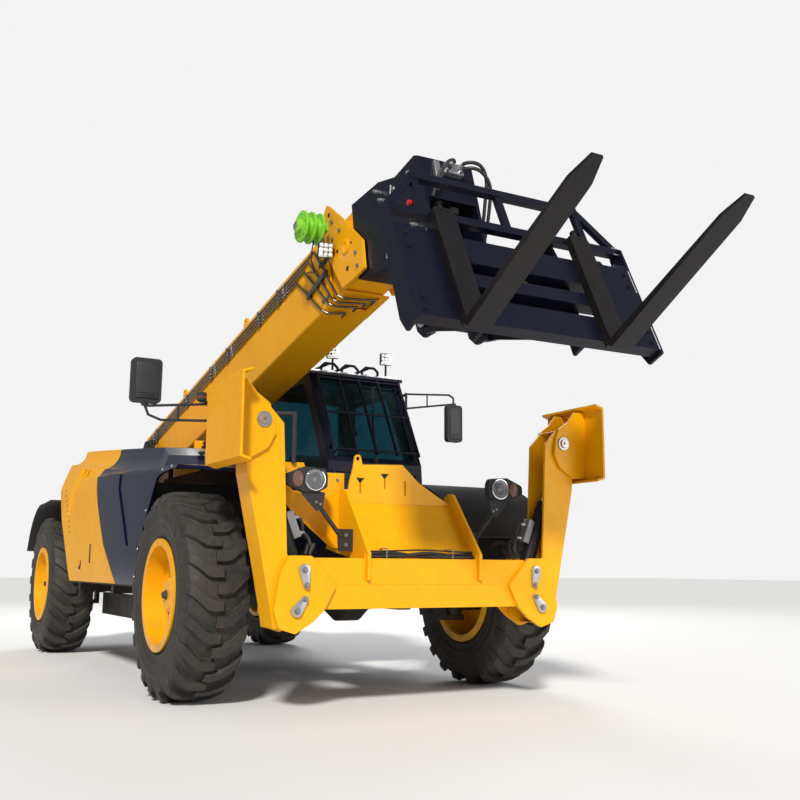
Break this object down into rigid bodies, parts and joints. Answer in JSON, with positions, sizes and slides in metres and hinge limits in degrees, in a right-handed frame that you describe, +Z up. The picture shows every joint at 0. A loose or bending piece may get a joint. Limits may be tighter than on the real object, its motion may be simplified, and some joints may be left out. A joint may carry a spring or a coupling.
{
  "type": "telehandler",
  "caption": "Telescopic handler with a telescoping boom, pallet forks, folding front stabiliser legs, a side cab and steered wheels.",
  "frame": {"origin": "on the ground, below the middle of the whole machine's box", "axes": "+Z up, +Y towards the tail, +X to the machine's left"},
  "size_m": [2.956, 8.111, 3.2562],
  "materials": {
    "yellow": "gloss",
    "navy": "gloss",
    "navy_plastic": "gloss",
    "yellow_cover": "gloss",
    "black": "satin",
    "black_plastic": "matte",
    "fork_steel": "worn satin",
    "chrome_rod": "polished",
    "zinc": "satin",
    "cast": "rough",
    "rubber_tyre": "dusty",
    "glass": "tinted",
    "fabric": "woven"
  },
  "bodies": {
    "chassis": {"chassis_frame": "black", "front_crossbeam": "yellow", "front_bracket": "yellow", "front_axle": "black", "rear_axle": "black", "cab_base": "navy", "cab_front_wall": "navy", "cab_rear_wall": "navy", "cab_right_wall": "navy", "cab_left_wall": "navy", "cab_roof": "navy", "cab_glass": "glass", "cab_guard": "navy", "seat": "fabric", "steering_column": "black_plastic", "engine_tray": "black", "engine_block": "cast", "fuel_tank": "black_plastic", "mudguards": "black_plastic", "counterweight": "black", "headlamps": "black_plastic", "mirrors": "black_plastic", "hood_front": "navy_plastic"},
    "engine_hood": {"hood_rear": "yellow_cover"},
    "cab_door": {"cab_door": "navy", "door_glass": "glass"},
    "lift_cylinder": {"lift_cylinder": "black"},
    "lift_rod": {"lift_rod": "chrome_rod"},
    "boom_outer": {"boom_outer": "yellow", "boom_pipes": "zinc"},
    "boom_mid": {"boom_mid": "yellow"},
    "boom_inner": {"boom_inner": "yellow", "boom_head": "navy"},
    "tilt_cylinder": {"tilt_cylinder": "black"},
    "tilt_rod": {"tilt_rod": "chrome_rod"},
    "carriage": {"quick_hitch": "navy", "fork_frame": "navy", "forks": "fork_steel"},
    "leg_left": {"leg_left": "yellow"},
    "foot_left": {"foot_left": "yellow"},
    "leg_cylinder_left": {"leg_cylinder_left": "black"},
    "leg_rod_left": {"leg_rod_left": "chrome_rod"},
    "leg_right": {"leg_right": "yellow"},
    "foot_right": {"foot_right": "yellow"},
    "leg_cylinder_right": {"leg_cylinder_right": "black"},
    "leg_rod_right": {"leg_rod_right": "chrome_rod"},
    "front_knuckle_left": {"front_knuckle_left": "black"},
    "front_wheel_left": {"front_rim_left": "yellow", "front_tyre_left": "rubber_tyre"},
    "front_knuckle_right": {"front_knuckle_right": "black"},
    "front_wheel_right": {"front_rim_right": "yellow", "front_tyre_right": "rubber_tyre"},
    "front_steering_rod": {"front_steering_rod": "chrome_rod"},
    "rear_knuckle_left": {"rear_knuckle_left": "black"},
    "rear_wheel_left": {"rear_rim_left": "yellow", "rear_tyre_left": "rubber_tyre"},
    "rear_knuckle_right": {"rear_knuckle_right": "black"},
    "rear_wheel_right": {"rear_rim_right": "yellow", "rear_tyre_right": "rubber_tyre"},
    "rear_steering_rod": {"rear_steering_rod": "chrome_rod"}
  },
  "joints": [
    {"name": "boom_lift", "type": "hinge", "parent": "chassis", "child": "boom_outer", "pos_m": [0, 3.2005, 1.91], "axis": [-1, 0, 0], "range_deg": [-14, 57]},
    {"name": "boom_extend", "type": "slide", "parent": "boom_outer", "child": "boom_mid", "axis": [0, -0.977, 0.213], "range_m": [0, 1.65]},
    {"name": "boom_extend_inner", "type": "slide", "parent": "boom_mid", "child": "boom_inner", "axis": [0, -0.977, 0.213], "range_m": [0, 1.65]},
    {"name": "lift_cylinder_swing", "type": "hinge", "parent": "chassis", "child": "lift_cylinder", "pos_m": [0, 2.7505, 1.01], "axis": [-1, 0, 0], "range_deg": [-12.47, 47.26]},
    {"name": "lift_rod_slide", "type": "slide", "parent": "lift_cylinder", "child": "lift_rod", "axis": [0, -0.8482, 0.5297], "range_m": [-0.24254, 0.91889]},
    {"name": "carriage_tilt", "type": "hinge", "parent": "boom_inner", "child": "carriage", "pos_m": [0, -2.2995, 2.15], "axis": [1, 0, 0], "range_deg": [-8, 95]},
    {"name": "tilt_cylinder_swing", "type": "hinge", "parent": "boom_inner", "child": "tilt_cylinder", "pos_m": [0, -1.4595, 2.985], "axis": [1, 0, 0], "range_deg": [-0.4, 3.83]},
    {"name": "tilt_rod_slide", "type": "slide", "parent": "tilt_cylinder", "child": "tilt_rod", "axis": [0, -0.8878, -0.4602], "range_m": [-0.06454, 0.62264]},
    {"name": "cab_door_hinge", "type": "hinge", "parent": "chassis", "child": "cab_door", "pos_m": [1.15, 1.2755, 1.445], "axis": [0, 0, 1], "range_deg": [0, 95]},
    {"name": "engine_hood_hinge", "type": "hinge", "parent": "chassis", "child": "engine_hood", "pos_m": [-0.28, 1.3705, 1.825], "axis": [0, 1, 0], "range_deg": [0, 55]},
    {"name": "leg_left_fold", "type": "hinge", "parent": "chassis", "child": "leg_left", "pos_m": [0.805, -1.867, 0.56], "axis": [0, 1, 0], "range_deg": [0, 98]},
    {"name": "foot_left_pivot", "type": "hinge", "parent": "leg_left", "child": "foot_left", "pos_m": [1.01, -1.867, 1.57], "axis": [0, -1, 0], "range_deg": [0, 14]},
    {"name": "leg_cylinder_left_swing", "type": "hinge", "parent": "chassis", "child": "leg_cylinder_left", "pos_m": [0.765, -1.867, 0.775], "axis": [0, 1, 0], "range_deg": [-2.1, 107.33]},
    {"name": "leg_rod_left_slide", "type": "slide", "parent": "leg_cylinder_left", "child": "leg_rod_left", "axis": [0.362, 0, 0.9322], "range_m": [-0.00633, 0.32263]},
    {"name": "leg_right_fold", "type": "hinge", "parent": "chassis", "child": "leg_right", "pos_m": [-0.805, -1.867, 0.56], "axis": [0, -1, 0], "range_deg": [0, 98]},
    {"name": "foot_right_pivot", "type": "hinge", "parent": "leg_right", "child": "foot_right", "pos_m": [-1.01, -1.867, 1.57], "axis": [0, 1, 0], "range_deg": [0, 14]},
    {"name": "leg_cylinder_right_swing", "type": "hinge", "parent": "chassis", "child": "leg_cylinder_right", "pos_m": [-0.765, -1.867, 0.775], "axis": [0, -1, 0], "range_deg": [-2.1, 107.33]},
    {"name": "leg_rod_right_slide", "type": "slide", "parent": "leg_cylinder_right", "child": "leg_rod_right", "axis": [-0.362, 0, 0.9322], "range_m": [-0.00633, 0.32263]},
    {"name": "front_steer", "type": "hinge", "parent": "chassis", "child": "front_knuckle_left", "pos_m": [0.83, -0.9495, 0.62], "axis": [0, 0, 1], "range_deg": [-35, 35]},
    {"name": "front_wheel_left_spin", "type": "hinge", "parent": "front_knuckle_left", "child": "front_wheel_left", "pos_m": [1.07, -0.9495, 0.62], "axis": [1, 0, 0], "continuous": true},
    {"name": "front_steer_right", "type": "hinge", "parent": "chassis", "child": "front_knuckle_right", "pos_m": [-0.83, -0.9495, 0.62], "axis": [0, 0, 1], "range_deg": [-35, 35]},
    {"name": "front_wheel_right_spin", "type": "hinge", "parent": "front_knuckle_right", "child": "front_wheel_right", "pos_m": [-1.07, -0.9495, 0.62], "axis": [1, 0, 0], "continuous": true},
    {"name": "front_steering_rod_slide", "type": "slide", "parent": "chassis", "child": "front_steering_rod", "axis": [1, 0, 0], "range_m": [-0.12825, 0.12825]},
    {"name": "rear_steer", "type": "hinge", "parent": "chassis", "child": "rear_knuckle_left", "pos_m": [0.83, 2.9505, 0.62], "axis": [0, 0, 1], "range_deg": [-35, 35]},
    {"name": "rear_wheel_left_spin", "type": "hinge", "parent": "rear_knuckle_left", "child": "rear_wheel_left", "pos_m": [1.07, 2.9505, 0.62], "axis": [1, 0, 0], "continuous": true},
    {"name": "rear_steer_right", "type": "hinge", "parent": "chassis", "child": "rear_knuckle_right", "pos_m": [-0.83, 2.9505, 0.62], "axis": [0, 0, 1], "range_deg": [-35, 35]},
    {"name": "rear_wheel_right_spin", "type": "hinge", "parent": "rear_knuckle_right", "child": "rear_wheel_right", "pos_m": [-1.07, 2.9505, 0.62], "axis": [1, 0, 0], "continuous": true},
    {"name": "rear_steering_rod_slide", "type": "slide", "parent": "chassis", "child": "rear_steering_rod", "axis": [1, 0, 0], "range_m": [-0.12825, 0.12825]}
  ],
  "couplings": [
    {"joint": "boom_extend_inner", "follows": "boom_extend", "ratio": 1},
    {"joint": "lift_cylinder_swing", "follows": "boom_lift", "ratio": 0.80897},
    {"joint": "lift_rod_slide", "follows": "boom_lift", "m_per_rad": 0.9012},
    {"joint": "tilt_cylinder_swing", "follows": "carriage_tilt", "ratio": 0.03949},
    {"joint": "tilt_rod_slide", "follows": "carriage_tilt", "m_per_rad": 0.36755},
    {"joint": "leg_cylinder_left_swing", "follows": "leg_left_fold", "ratio": 1.0737},
    {"joint": "leg_rod_left_slide", "follows": "leg_left_fold", "m_per_rad": 0.18493},
    {"joint": "leg_cylinder_right_swing", "follows": "leg_right_fold", "ratio": 1.0737},
    {"joint": "leg_rod_right_slide", "follows": "leg_right_fold", "m_per_rad": 0.18493},
    {"joint": "front_steer_right", "follows": "front_steer", "ratio": 1},
    {"joint": "front_steering_rod_slide", "follows": "front_steer", "m_per_rad": -0.20188},
    {"joint": "rear_steer_right", "follows": "rear_steer", "ratio": 1},
    {"joint": "rear_steering_rod_slide", "follows": "rear_steer", "m_per_rad": 0.20188}
  ]
}
